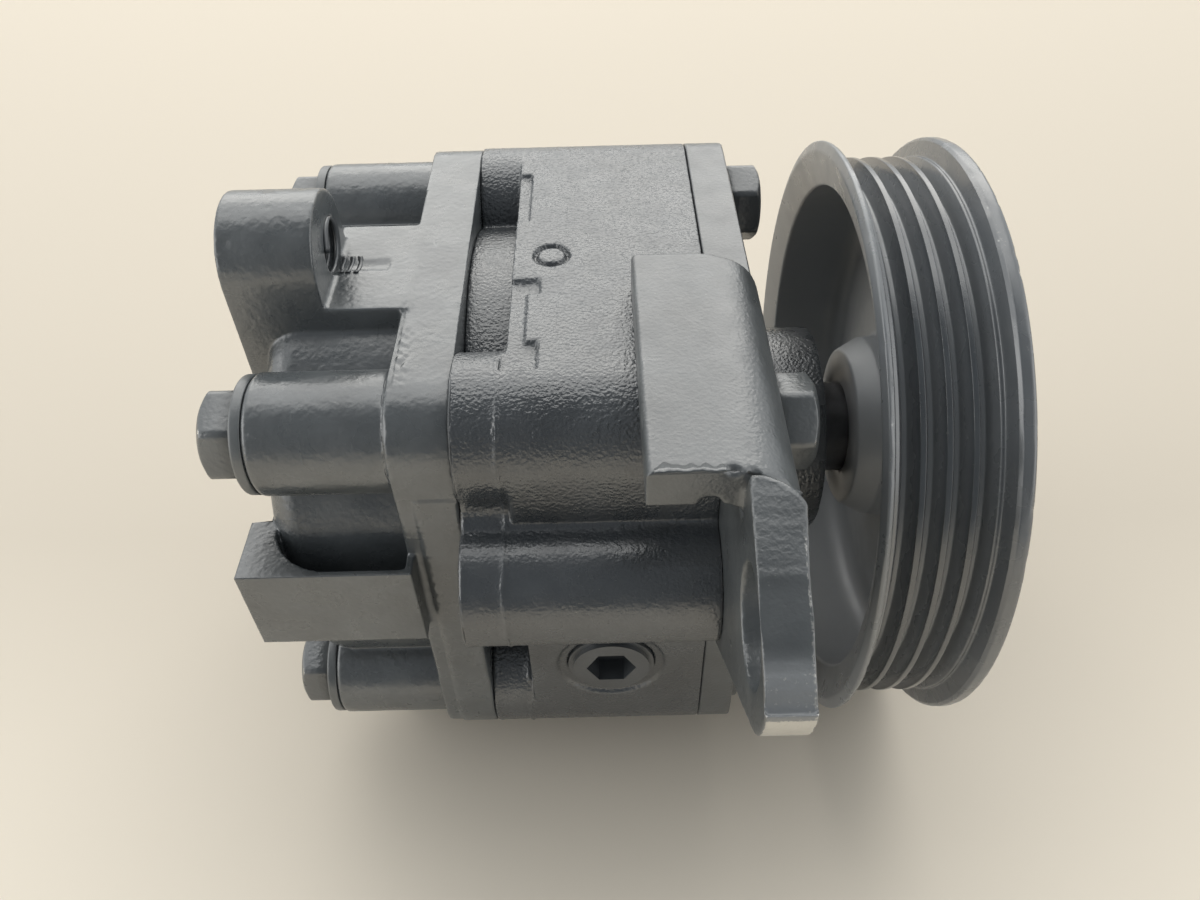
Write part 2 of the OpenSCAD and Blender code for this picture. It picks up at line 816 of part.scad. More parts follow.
module side_plug() {
    color(black_satin) translate([side_plug_x, -body_half, -plug_z]) rotate([-90, 0, 0]) difference() {
        union() {
            translate([0, 0, 0.2]) cylinder(h = plug_len, r = plug_r);
            translate([0, 0, -0.6]) cylinder(h = 0.9, r = plug_r - 0.8);
        }
        translate([0, 0, -1]) cylinder(h = plug_len * 0.7, r = plug_r * 0.58, $fn = 6);
    }
}

// Rotating group

module drive_shaft() {
    x_end = hub_face + lock_t + nut_h + thread_over;
    ring = x_joint + side_gap;
    color(bare_steel) difference() {
        turned() polygon([[0, x_shaft_rear], [shaft_r - 0.6, x_shaft_rear], [shaft_r, x_shaft_rear + 0.6],
            [shaft_r, ring - snap_w], [shaft_r - snap_d, ring - snap_w], [shaft_r - snap_d, ring], [shaft_r, ring],
            [shaft_r, x_hub], [seat_r, x_hub], [seat_r, hub_face - 0.4], [thread_r, hub_face - 0.4],
            [thread_r, x_end - 0.8], [thread_r - 0.8, x_end], [0, x_end]]);
        key(loose_gap / 2, 0);
    }
}

// Parallel key between shaft and hub, grown by the given clearances
module key(side, top) {
    block([x_hub + key_inset - side, -key_w / 2 - side, seat_r - key_in - side],
        [hub_face - key_inset + side, key_w / 2 + side, seat_r + key_out + top]);
}

module pulley_key() {
    color(bare_steel) key(0, 0);
}

// Half section of the pulley as radius against X
module pulley_section() {
    rim_left = -belt_half - 0.6;
    rim_right = belt_half + 3.4;
    left = [for (i = [0:groove_count - 1])
        let (c = (i - (groove_count - 1) / 2) * groove_pitch)
        each [[crest_r, c - groove_half], [floor_r, c - floor_half], [floor_r, c + floor_half],
            [crest_r, c + groove_half]]];
    last = len(left) - 1;
    body = [for (i = [1:last - 1]) left[i]];
    polygon(concat([[rim_r, rim_left], [flange_r - 1.6, -belt_half - flank - 1],
        [flange_r - 0.3, -belt_half - flank * 0.6]], body,
        [[flange_r - 0.3, belt_half + flank * 0.6], [flange_r - edge_r, rim_right],
        [rim_r, rim_right - 0.6]]));
    translate([flange_r - bead_r, -belt_half - flank * 0.6 - bead_r * 0.3]) circle(bead_r);
    translate([flange_r - edge_r, rim_right - edge_r]) circle(edge_r);
    polygon([[rim_r + 0.5, hub_face - web_t + web_out], [rim_r + 0.5, hub_face + web_out], [hub_r - 1, hub_face],
        [hub_r - 1, hub_face - web_t]]);
    polygon([[0, x_hub], [hub_r - 2.2, x_hub], [hub_r, x_hub + 3.8], [hub_r, hub_face], [0, hub_face]]);
}

module pulley() {
    color(black_satin) difference() {
        turned() pulley_section();
        rod(x_hub - 1, hub_face + 1, seat_r);
        key(loose_gap / 2, loose_gap);
    }
}

module pulley_lock_washer() {
    color(bare_steel) tube(hub_face, hub_face + lock_t, nut_af * 0.55, thread_r + loose_gap);
}

module pulley_nut() {
    x0 = hub_face + lock_t;
    color(black_satin) difference() {
        hex_head(x0, x0 + nut_h, nut_af, 0, [0, 0]);
        rod(x0 - 1, x0 + nut_h + 1, thread_r + loose_gap / 2);
    }
}

front_housing();
rear_cover();
cover_bolts();
cover_washers();
mounting_bracket();
bracket_bolts();
bracket_washers();
cam_ring();
front_side_plate();
rear_side_plate();
dowel_pins();
front_bushing();
rear_bushing();
oil_seal();
cover_o_ring();
side_plate_o_ring();
valve_plug();
valve_plug_o_ring();
valve_spool();
valve_spring();
side_plug();
drive_shaft();
rotor();
vanes();
rotor_snap_ring();
pulley();
pulley_key();
pulley_lock_washer();
pulley_nut();
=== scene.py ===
"""Looks of a power steering pump: cast body, bent bracket, ribbed pulley, black spray paint."""

import math

import bmesh
import bpy
import numpy as np
from mathutils import Matrix, Vector


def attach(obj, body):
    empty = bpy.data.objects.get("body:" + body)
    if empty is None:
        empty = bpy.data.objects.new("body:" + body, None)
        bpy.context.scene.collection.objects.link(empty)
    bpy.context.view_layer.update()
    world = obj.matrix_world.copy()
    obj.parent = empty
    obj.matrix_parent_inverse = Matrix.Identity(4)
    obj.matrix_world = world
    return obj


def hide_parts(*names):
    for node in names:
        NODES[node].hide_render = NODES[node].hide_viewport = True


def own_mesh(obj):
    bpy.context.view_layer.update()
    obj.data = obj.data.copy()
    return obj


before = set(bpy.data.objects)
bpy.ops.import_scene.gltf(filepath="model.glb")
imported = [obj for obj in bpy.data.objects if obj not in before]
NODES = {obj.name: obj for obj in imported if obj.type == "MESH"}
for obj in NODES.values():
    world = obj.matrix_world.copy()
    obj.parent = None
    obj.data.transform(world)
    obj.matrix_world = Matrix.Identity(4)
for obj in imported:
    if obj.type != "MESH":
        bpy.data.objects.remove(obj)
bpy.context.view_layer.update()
scene = bpy.context.scene
scene.view_settings.view_transform = "Standard"

MM = 0.001

# Stations of the part, in millimetres
X_FACE, X_SLOT, X_JOINT = -30.5, -58.8, -65.9
X_FLANGE, X_SEAT, X_PLATE = -74.4, -93.3, -25.0
X_LUG, X_LUG_FRONT = -98.9, -85.4
BOLT_HALF, CORNER_R, COLUMN_R = 28.9, 10.6, 8.6
REST_Z = -49.5
CORNERS = [(sy * BOLT_HALF, sz * BOLT_HALF) for sy in (-1, 1) for sz in (-1, 1)]
NEAR_TOP = (-BOLT_HALF, BOLT_HALF)
LUG_AT = (-2.8, 42.3)
LUG_HOLE_R = 4.25
VALVE_AT = (-41.3, 10.9)
VALVE_BOSS_R = 9.3
X_CORE, CORE_R, CORE_SOFT = -95.4, 37.4, 5.0
SIDE_LUG_END, SIDE_LUG_ROOT, SIDE_LUG_TOP = -31.5, -16.0, 13.5
TAB_NEAR, TAB_TOP, TAB_REAR = -53.6, 45.2, -41.5
TAB_ROLL, PLATE_T = 1.1, 5.5
BEND_AT, BEND_R = (-32.8, 36.6), 8.6
EAR_AT, EAR_HOLE_R = (-64.5, 32.0), 7.0
RIB_PITCH, CREST_R = 3.56, 46.6

# Paint tones, linear
CAST_BLACK = (0.040, 0.045, 0.050)
COVER_BLACK = (0.064, 0.071, 0.075)
PLATE_BLACK = (0.054, 0.060, 0.063)
BOLT_BLACK = (0.070, 0.077, 0.080)
PULLEY_BLACK = (0.036, 0.041, 0.046)
BARE_STEEL = (0.55, 0.54, 0.51)


# Camera, floor and light


def add_camera():
    """Camera fitted to the photograph: level floor, looking down at the body's near upper edge."""
    focal_px, image_w, sensor_w = 942.988, 1200, 36.0
    at = Vector((-46.10, -123.65, 118.93)) * MM
    yaw, roll = -0.003, 0.025
    turn = Matrix.Rotation(roll, 3, "Z") @ Matrix.Rotation(yaw, 3, "Y")
    half = math.sqrt(0.5)
    seen = Matrix(((1, 0, 0), (0, half, -half), (0, half, half)))
    data = bpy.data.cameras.new("photo_camera")
    data.sensor_fit = "HORIZONTAL"
    data.sensor_width = sensor_w
    data.lens = focal_px * sensor_w / image_w
    data.clip_start, data.clip_end = 0.005, 20
    camera = bpy.data.objects.new("photo_camera", data)
    camera.matrix_world = Matrix.Translation(at) @ (seen @ turn.transposed()).to_4x4()
    scene.collection.objects.link(camera)
    scene.camera = camera


def add_light(name, at, size, radiance, colour):
    """Area lamp that looks at the middle of the pump."""
    target = Vector((-0.04, 0, 0))
    data = bpy.data.lights.new(name, "AREA")
    data.shape = "RECTANGLE"
    data.size, data.size_y = size
    data.energy = radiance * math.pi * size[0] * size[1]
    data.color = colour
    lamp = bpy.data.objects.new(name, data)
    lamp.location = at
    lamp.rotation_mode = "QUATERNION"
    lamp.rotation_quaternion = (target - Vector(at)).to_track_quat("-Z", "Y")
    scene.collection.objects.link(lamp)


def add_world():
    """Bright room, darker on the side from which the pump is seen, where somebody stands."""
    world = bpy.data.worlds.new("room")
    world.use_nodes = True
    tree = world.node_tree
    way = tree.nodes.new("ShaderNodeTexCoord").outputs["Generated"]
    toward = tree.nodes.new("ShaderNodeVectorMath")
    toward.operation = "DOT_PRODUCT"
    toward.inputs[1].default_value = (0.0, -0.72, 0.69)
    share = tree.nodes.new("ShaderNodeMapRange")
    share.inputs["From Min"].default_value = 0.58
    share.inputs["From Max"].default_value = 0.72
    tone = tree.nodes.new("ShaderNodeMix")
    tone.data_type = "RGBA"
    tone.inputs["A"].default_value = (1.02, 1.05, 1.06, 1)
    tone.inputs["B"].default_value = (0.19, 0.205, 0.22, 1)
    tree.links.new(way, toward.inputs[0])
    tree.links.new(toward.outputs["Value"], share.inputs["Value"])
    tree.links.new(share.outputs["Result"], tone.inputs["Factor"])
    tree.links.new(tone.outputs["Result"], tree.nodes["Background"].inputs["Color"])
    scene.world = world


def add_floor():
    """Pale paper on a table, its colour painted lighter in front of the pump to lift the shadow there and
    darker under and behind it.
    """
    half = 4.0
    z = REST_Z * MM
    corners = [(-half, -half, z), (half, -half, z), (half, half, z), (-half, half, z)]
    mesh = bpy.data.meshes.new("floor")
    mesh.from_pydata(corners, [], [(0, 1, 2, 3)])
    floor = bpy.data.objects.new("floor", mesh)
    scene.collection.objects.link(floor)
    made = Shader("floor_paper")
    place = made.place()
    made.set(Roughness=0.75, Specular_IOR_Level=0.2)
    split = made.add("ShaderNodeSeparateXYZ", Vector=place)
    # Painted light: the paper is lighter in front of the pump and darker under and behind it.
    front, rear = (-0.12, (0.0, 0.0, 0.0)), (0.02, (1.0, 1.0, 1.0))
    fall = made.ramp(split.outputs["Y"], (front, rear), span=(-0.3, 0.3))
    mottle = made.noise(place, 14.0, 3)
    tone = made.mix(fall, (0.92, 0.84, 0.715), (0.66, 0.595, 0.50))
    made.link(made.mix(made.math("MULTIPLY", mottle, 0.10), tone, (0.64, 0.58, 0.49)), "Base Color")
    made.bump(made.noise(place, 900.0, 2), 0.05, 0.0001)
    mesh.materials.append(made.material)


# Shaders


class Shader:
    """Short way to wire one Principled material."""

    def __init__(self, name):
        self.material = bpy.data.materials.new(name)
        self.material.use_nodes = True
        self.tree = self.material.node_tree
        self.bsdf = self.tree.nodes["Principled BSDF"]
        self.normal = None

    def add(self, kind, **inputs):
        node = self.tree.nodes.new(kind)
        for key, value in inputs.items():
            self.feed(node.inputs[key], value)
        return node

    def feed(self, socket, value):
        if isinstance(value, bpy.types.NodeSocket):
            self.tree.links.new(value, socket)
        elif isinstance(value, tuple) and len(value) == 3 and socket.type == "RGBA":
            socket.default_value = (*value, 1)
        else:
            socket.default_value = value

    def set(self, **values):
        for key, value in values.items():
            self.feed(self.bsdf.inputs[key.replace("_", " ")], value)

    def link(self, socket, name):
        self.tree.links.new(socket, self.bsdf.inputs[name])

    def place(self):
        return self.add("ShaderNodeTexCoord").outputs["Object"]

    def noise(self, place, scale, detail=2.0, rough=0.5, stretch=None):
        if stretch:
            place = self.add("ShaderNodeMapping", Vector=place, Scale=stretch).outputs["Vector"]
        node = self.add("ShaderNodeTexNoise", Vector=place, Scale=scale, Detail=detail, Roughness=rough)
        return node.outputs["Fac"]

    def math(self, kind, a, b=0.0):
        node = self.tree.nodes.new("ShaderNodeMath")
        node.operation = kind
        self.feed(node.inputs[0], a)
        self.feed(node.inputs[1], b)
        return node.outputs[0]

    def mix(self, share, a, b):
        node = self.tree.nodes.new("ShaderNodeMix")
        node.data_type = "RGBA"
        self.feed(node.inputs["Factor"], share)
        self.feed(node.inputs["A"], a)
        self.feed(node.inputs["B"], b)
        return node.outputs["Result"]

    def span(self, value, low, high, to_low=0.0, to_high=1.0):
        node = self.add("ShaderNodeMapRange", Value=value)
        for key, number in zip(("From Min", "From Max", "To Min", "To Max"), (low, high, to_low, to_high)):
            node.inputs[key].default_value = number
        return node.outputs["Result"]

    def ramp(self, value, stops, span=(0.0, 1.0)):
        node = self.tree.nodes.new("ShaderNodeValToRGB")
        low, high = span
        self.feed(node.inputs["Fac"], self.span(value, low, high))
        for element, (at, colour) in zip(node.color_ramp.elements, stops):
            element.position = (at - low) / (high - low)
            element.color = (*colour, 1)
        return node.outputs["Color"]

    def attribute(self, name):
        node = self.tree.nodes.new("ShaderNodeAttribute")
        node.attribute_name = name
        return node.outputs["Fac"]

    def bump(self, height, strength, distance):
        node = self.add("ShaderNodeBump", Height=height)
        self.feed(node.inputs["Strength"], strength)
        node.inputs["Distance"].default_value = distance
        if self.normal:
            self.tree.links.new(self.normal, node.inputs["Normal"])
        self.normal = node.outputs["Normal"]
        self.tree.links.new(self.normal, self.bsdf.inputs["Normal"])


def sprayed(name, tone, rough, grain_mm, grain_depth_mm, wear=None, dust_and_painted_light=None, metal=BARE_STEEL, calm=False):
    """Satin black spray paint over a grain of the given size and depth.

    The attribute wear bares the metal; the second attribute greys the paint, both as dust and as painted
    light that lifts shaded faces.
    A calm skin has a weaker grain on its near side and ahead of the front face.
    """
    made = Shader(name)
    place = made.place()
    made.set(IOR=1.6, Specular_IOR_Level=1.0)
    clouds = made.noise(place, 90.0, 4, 0.6)
    specks = made.noise(place, 2600.0, 2)
    pale = tuple(min(1.0, c * 1.35 + 0.004) for c in tone)
    deep = tuple(c * 0.82 for c in tone)
    colour = made.mix(made.span(clouds, 0.3, 0.7), deep, pale)
    colour = made.mix(made.span(specks, 0.72, 0.80, 0.0, 0.35), colour, (0.30, 0.30, 0.28))
    roughness = made.span(made.noise(place, 220.0, 3), 0.3, 0.7, rough - 0.06, rough + 0.07)
    grain = made.noise(place, 1000.0 / grain_mm, 1.5, 0.45)
    strength = 1.0
    if calm:
        axes = made.add("ShaderNodeSeparateXYZ", Vector=place)
        near = made.span(axes.outputs["Y"], -0.0415, -0.035, 0.32, 1.0)
        ahead = made.span(axes.outputs["X"], -0.031, -0.030, 1.0, 0.5)
        strength = made.math("MULTIPLY", near, ahead)
    made.bump(made.span(grain, 0.25, 0.75), strength, grain_depth_mm * MM)
    made.bump(made.noise(place, 5200.0, 2), 0.35, 0.00003)
    if dust_and_painted_light:
        # Grey from the second attribute: dust on the bracket, painted light on the pulley's shaded faces.
        colour = made.mix(made.math("MULTIPLY", made.attribute(dust_and_painted_light), 0.9), colour, (0.34, 0.355, 0.37))
        roughness = made.math("ADD", roughness, made.math("MULTIPLY", made.attribute(dust_and_painted_light), 0.25))
    if wear:
        chips = made.noise(place, 1700.0, 3, 0.65)
        bare = made.math("ADD", made.attribute(wear), made.span(chips, 0.3, 0.7, -0.25, 0.15))
        bare = made.span(bare, 0.45, 0.65)
        colour = made.mix(bare, colour, metal)
        made.link(made.math("MULTIPLY", bare, 0.85), "Metallic")
        roughness = made.math("SUBTRACT", roughness, made.math("MULTIPLY", bare, 0.08))
    made.link(colour, "Base Color")
    made.link(roughness, "Roughness")
    return made.material


def bare_metal(name, tone, rough, lines=(1, 1, 1)):
    """Ground or turned bare metal with fine tool lines."""
    made = Shader(name)
    place = made.place()
    made.set(Metallic=1.0)
    stain = made.noise(place, 160.0, 4, 0.6)
    dark = tuple(c * 0.72 for c in tone)
    made.link(made.mix(made.span(stain, 0.35, 0.7), tone, dark), "Base Color")
    made.link(made.span(made.noise(place, 700.0, 3), 0.3, 0.7, rough - 0.06, rough + 0.08), "Roughness")
    made.bump(made.noise(place, 1400.0, 2, 0.6, lines), 0.4, 0.00004)
    return made.material


def rubber(name):
    made = Shader(name)
    place = made.place()
    fine = made.noise(place, 1500.0, 3)
    made.link(made.mix(fine, (0.016, 0.016, 0.017), (0.034, 0.034, 0.036)), "Base Color")
    made.link(made.span(fine, 0.3, 0.7, 0.48, 0.66), "Roughness")
    made.bump(fine, 0.4, 0.00004)
    return made.material


# Mesh helpers


def add_piece(name, mesh, body, node, material):
    """Links a finished mesh that stands for a CAD node and moves with its body."""
    mesh.materials.clear()
    mesh.materials.append(material)
    mesh.shade_smooth()
    piece = bpy.data.objects.new(name, mesh)
    scene.collection.objects.link(piece)
    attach(piece, body)
    if node:
        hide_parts(node)
    return piece


def evaluated(mesh, *modifiers):
    """A new mesh: the given one through modifiers, each a type with its settings."""
    carrier = bpy.data.objects.new("carrier", mesh)
    scene.collection.objects.link(carrier)
    for kind, settings in modifiers:
        modifier = carrier.modifiers.new(kind.lower(), kind)
        for key, value in settings.items():
            setattr(modifier, key, value)
    graph = bpy.context.evaluated_depsgraph_get()
    result = bpy.data.meshes.new_from_object(carrier.evaluated_get(graph))
    bpy.data.objects.remove(carrier)
    return result


def welded_copy(node):
    mesh = NODES[node].data.copy()
    shape = bmesh.new()
    shape.from_mesh(mesh)
    bmesh.ops.remove_doubles(shape, verts=shape.verts, dist=1e-6)
    shape.to_mesh(mesh)
    shape.free()
    return mesh


def points_of(mesh):
    flat = np.empty(len(mesh.vertices) * 3, np.float32)
    mesh.vertices.foreach_get("co", flat)
    normals = np.empty(len(mesh.vertices) * 3, np.float32)
    mesh.vertices.foreach_get("normal", normals)
    return flat.reshape(-1, 3).astype(float) / MM, normals.reshape(-1, 3).astype(float)


def set_points(mesh, points):
    mesh.vertices.foreach_set("co", (points * MM).astype(np.float32).ravel())
    mesh.update()


def refined(node, voxel_mm, rounding, dressed, triangles):
    """Copy of a node with softened edges and surface relief, kept under a count of triangles."""
    mesh = evaluated(
        welded_copy(node),
        ("REMESH", {"mode": "VOXEL", "voxel_size": voxel_mm * MM}),
        ("SMOOTH", {"factor": 0.5, "iterations": rounding}),
    )
    points, normals = points_of(mesh)
    set_points(mesh, dressed(points, normals))
    count = sum(len(p.vertices) - 2 for p in mesh.polygons)
    if count > triangles:
        mesh = evaluated(mesh, ("DECIMATE", {"ratio": triangles / count}))
    return mesh


def wave_noise(points, size_mm, seed):
    """Smooth noise from -1 to 1 with features of the given size, as a sum of fixed sine waves."""
    rng = np.random.default_rng(seed)
    total = np.zeros(len(points))
    count = 14
    for _ in range(count):
        direction = rng.normal(size=3)
        direction /= np.linalg.norm(direction)
        pace = 2 * math.pi / size_mm * rng.uniform(0.6, 1.5)
        total += np.sin(points @ direction * pace + rng.uniform(0, 2 * math.pi))
    return np.clip(total / math.sqrt(count), -2, 2) / 1.4


def smooth_step(value, low, high):
    t = np.clip((value - low) / (high - low), 0, 1)
    return t * t * (3 - 2 * t)


def band(value, centre, half, soft):
    """One inside a strip, falling to nought over a soft margin."""
    return 1 - smooth_step(np.abs(value - centre), half, half + soft)


def ridge(points, x_line, half, height, seed):
    """Height of a thin cast line around the part at one station along the shaft, broken here and there."""
    wander = 0.25 * wave_noise(points, 9, seed)
    broken = smooth_step(wave_noise(points, 7, seed + 1), -0.75, -0.1)
    return height * broken * band(points[:, 0], x_line + wander, 0.0, half)


# Castings


def dress_housing(points, normals):
    """Sand-cast skin: waviness, a parting line on the near side, smoother barrel."""
    x, y, z = points.T
    lift = 0.015 * wave_noise(points, 6.0, 11) + 0.012 * wave_noise(points, 1.7, 12)
    cavity_r = 34.5
    outside = (np.hypot(y, z) > cavity_r) | (x > X_FACE + 0.5)
    lift = lift * outside
    near = smooth_step(-y, 20, 26)
    lift = lift + near * ridge(points, X_SLOT - 0.9, 0.55, 0.22, 21)
    lift = lift + near * ridge(points, X_JOINT + 0.5, 0.5, 0.12, 23)
    return points + normals * lift[:, None]


def dress_cover(points, normals):
    """Die-cast skin: faint waviness, a low step and rough flash on the flange, knocks on the upper lug."""
    x, y, z = points.T
    cavity_r, lug_foot = 26, 38
    outside = np.hypot(y, z) > cavity_r
    lift = (0.014 * wave_noise(points, 8.0, 31) + 0.012 * wave_noise(points, 2.0, 32)) * outside
    facing_near = smooth_step(-normals[:, 1], 0.6, 0.8) * smooth_step(-y, 35.5, 36.5)
    step = smooth_step(x, X_FLANGE + 2.2, X_FLANGE + 2.5) * smooth_step(-z, -24.8, -24.4)
    lift = lift + 0.28 * facing_near * step
    facing_up = smooth_step(normals[:, 2], 0.6, 0.8)
    strip = band(x, X_FLANGE + 1.5, 0.65, 0.25) * band(y, -24.0, 5.5, 1.2) * facing_up
    lift = lift + 0.14 * strip * wave_noise(points, 0.9, 34)
    lift = lift - 0.16 * facing_up * band(x, X_FLANGE + 0.45, 0.12, 0.2) * band(y, -21.5, 8.5, 0.6)
    knocks = smooth_step(wave_noise(points, 3.1, 37), 0.75, 1.2)
    lift = lift - 0.06 * knocks * (x < X_LUG_FRONT + 1) * (z > lug_foot)
    dressed = points + normals * lift[:, None] + core_edge_shift(points)
    behind_core = (y > SIDE_LUG_END) & (y < SIDE_LUG_ROOT) & (np.abs(z) < SIDE_LUG_TOP + 1)
    dressed[:, 0] = np.where(behind_core, np.maximum(dressed[:, 0], X_CORE), dressed[:, 0])
    return dressed


def core_edge_shift(points):
    """Moves that bring the facets along the rear edge of the cover's core onto a true fillet."""
    x = points[:, 0]
    radius = np.hypot(points[:, 1], points[:, 2])
    edge_r, edge_x = CORE_R - CORE_SOFT, X_CORE + CORE_SOFT
    away = np.hypot(radius - edge_r, x - edge_x)
    on_edge = (radius > edge_r) & (x < edge_x) & (np.abs(away - CORE_SOFT + 0.2) < 0.35)
    grown = np.where(on_edge, CORE_SOFT / np.maximum(away, 1.0), 1.0)
    new_radius = edge_r + (radius - edge_r) * grown
    scale = np.where(on_edge, new_radius / np.maximum(radius, 1.0), 1.0)
    shift = points * (scale - 1)[:, None]
    shift[:, 0] = (x - edge_x) * (grown - 1)
    return shift


def add_castings():
    housing_paint = sprayed("cast_black", CAST_BLACK, 0.27, 0.48, 0.10, calm=True)
    cover_paint = sprayed("cover_black", COVER_BLACK, 0.29, 0.9, 0.036)
    limit = 190000
    housing = refined("front_housing", 0.30, 3, dress_housing, limit)
    add_piece("front_housing_cast", housing, "housing", "front_housing", housing_paint)
    cover = refined("rear_cover", 0.30, 3, dress_cover, limit)
    add_piece("rear_cover_cast", cover, "housing", "rear_cover", cover_paint)


# Bracket


def dress_bracket(points, normals):
    """Sheared plate: a hollow along the bend, bites in the tab's near end, a soft join of tab and ear."""
    x, y, z = points.T
    lift = 0.006 * wave_noise(points, 9.0, 51)
    on_top = smooth_step(normals[:, 2], 0.8, 0.95) * smooth_step(z, TAB_TOP - 1, TAB_TOP)
    lift = lift - 0.05 * band(x, BEND_AT[0] - 0.8, 0.0, 1.5) * on_top
    bites = (
        (-31.9, TAB_TOP, 1.25, 0.8),
        (-29.9, TAB_TOP - 0.7, 1.0, 0.6),
        (-34.2, TAB_TOP - PLATE_T, 1.6, 1.3),
    )
    for bite_x, bite_z, radius, depth in bites:
        away = np.sqrt((x - bite_x) ** 2 + (y - TAB_NEAR) ** 2 + (z - bite_z) ** 2)
        lift = lift - depth * (1 - smooth_step(away, radius * 0.35, radius))
    dressed = points + normals * lift[:, None]
    roll = np.clip(TAB_ROLL - (dressed[:, 0] - TAB_REAR), 0, TAB_ROLL)
    over = TAB_TOP - TAB_ROLL + np.sqrt(TAB_ROLL ** 2 - roll ** 2)
    dressed[:, 2] = np.where(roll > 0, np.minimum(dressed[:, 2], over), dressed[:, 2])
    dressed[:, 2] += ear_rise(points)
    push = np.interp(y, (-64.0, -54.0, -20.0), (0.0, 0.9, 1.2))
    dressed[:, 0] += push * smooth_step(x, -31.5, -26.5) * smooth_step(dressed[:, 2], 36.2, 39.5)
    return dressed


def ear_rise(points):
    """Height that runs the ear's upper edge smoothly out of the end of the bend, clear of the ear's hole."""
    x, y, z = points.T
    stations = np.arange(-75.5, -54.0, 0.5)
    top = np.interp(y, stations, [z[np.abs(y - station) < 0.3].max() for station in stations])
    edge_y = (-76.5, -74.0, -72.0, -70.0, -68.0, -66.0, -64.5, TAB_NEAR)
    edge_z = (31.0, 34.5, 35.9, 37.2, 38.4, 39.6, 40.6, TAB_TOP - 0.3)
    edge = np.interp(y, edge_y, edge_z)
    from_bend = np.clip(x - BEND_AT[0], 0, BEND_R)
    bend_top = BEND_AT[1] + np.sqrt(BEND_R ** 2 - from_bend ** 2)
    edge = np.minimum(edge, bend_top + 0.9 * (TAB_NEAR - y))
    edge = np.where(y < -75.0, np.minimum(edge, top), edge)
    across = np.clip(EAR_HOLE_R ** 2 - (y - EAR_AT[0]) ** 2, 0, None)
    foot = np.maximum(EAR_AT[1] + np.sqrt(across) + 0.3, 33.0)
    share = np.clip((z - foot) / np.maximum(top - foot, 0.5), 0, 1)
    return np.where(y < TAB_NEAR - 0.25, share * (edge - top), 0.0)


def edge_wear(mesh):
    """How sharply each point's surroundings bend outwards, from nought to one."""
    points, normals = points_of(mesh)
    pairs = np.empty(len(mesh.edges) * 2, np.int32)
    mesh.edges.foreach_get("vertices", pairs)
    a, b = pairs.reshape(-1, 2).T
    count = np.bincount(a, minlength=len(points)) + np.bincount(b, minlength=len(points))
    values = points
    for _ in range(3):
        around = np.zeros_like(values)
        np.add.at(around, a, values[b])
        np.add.at(around, b, values[a])
        values = around / count[:, None]
    bend = np.einsum("ij,ij->i", points - values, normals)
    return smooth_step(bend, 0.08, 0.20)


def set_values(mesh, name, values):
    """Gives each point a number that the shaders read by its name."""
    mesh.attributes.new(name, "FLOAT", "POINT").data.foreach_set("value", values.astype(np.float32))


def add_bracket():
    mesh = refined("mounting_bracket", 0.38, 2, dress_bracket, 195000)
    points, normals = points_of(mesh)
    x, y, z = points.T
    arm = smooth_step(-y, 60, 62)
    cut = smooth_step(-normals[:, 0] ** 2, -0.35, -0.1)
    front = smooth_step(x, X_PLATE - 2.0, X_PLATE - 1.2)
    rear = smooth_step(-x, -X_FACE - 1.6, -X_FACE - 0.8) * smooth_step(-y, 58, 62)
    lip = band(y, TAB_NEAR, 0.7, 0.5) * smooth_step(z, TAB_TOP - 1.4, TAB_TOP - 0.5)
    wear = edge_wear(mesh) * (0.10 + arm * (0.25 + 0.35 * front) + 0.25 * lip + 0.25 * rear)
    front_line = smooth_step(x, X_PLATE - 0.7, X_PLATE - 0.2) * smooth_step(-y, 57, 61) * cut
    end_face = smooth_step(-z, -32.6, -31.6) * smooth_step(-y, 73.2, 74.6) * cut
    rubbed = smooth_step(-y, 70.5, 73.0) * cut
    wear = np.maximum(wear, 0.62 * front_line)
    set_values(mesh, "wear", np.maximum(wear, np.maximum(0.95 * end_face, 0.40 * rubbed)))
    set_values(mesh, "dust_and_painted_light", 0.45 * rubbed)
    paint = sprayed("plate_black", PLATE_BLACK, 0.33, 0.5, 0.03, wear="wear", dust_and_painted_light="dust_and_painted_light")
    add_piece("mounting_bracket_plate", mesh, "housing", "mounting_bracket", paint)
    add_tab_burr()


def add_tab_burr():
    """Low rough lip that the shears left along the tab's near upper edge."""
    along = np.linspace(TAB_REAR + 0.9, BEND_AT[0], 90)
    places = np.stack([along, 0 * along, 0 * along], 1)
    rise = 0.17 + 0.10 * wave_noise(places, 1.1, 55)
    reach = 0.55 + 0.28 * wave_noise(places, 1.9, 56)
    rings = []
    for x, up, half in zip(along, rise, reach):
        section = ((-0.14, 0.02), (0.12, up), (2 * half, 0.0), (0.2, -0.4))
        rings.append([(x, TAB_NEAR + inward, TAB_TOP + out) for inward, out in section])
    paint = sprayed("burr_black", PLATE_BLACK, 0.30, 0.4, 0.02)
    burr = joined("tab_burr", [grid_mesh("burr", rings)])
    add_piece("tab_burr", burr, "housing", None, paint)


# Fasteners


def grid_mesh(name, rings, closed_ends=True, wear=None):
    """Skins rings of points, one after the other, each ring closed on itself."""
    size = len(rings[0])
    vertices = [p for ring in rings for p in ring]
    faces = []
    for k in range(len(rings) - 1):
        low, high = k * size, (k + 1) * size
        for i in range(size):
            j = (i + 1) % size
            faces.append((low + i, low + j, high + j, high + i))
    if closed_ends:
        faces.append(tuple(range(size - 1, -1, -1)))
        last = (len(rings) - 1) * size
        faces.append(tuple(range(last, last + size)))
    mesh = bpy.data.meshes.new(name)
    mesh.from_pydata([tuple(c * MM for c in p) for p in vertices], [], faces)
    if wear is not None:
        set_values(mesh, "wear", np.array(wear))
    return mesh


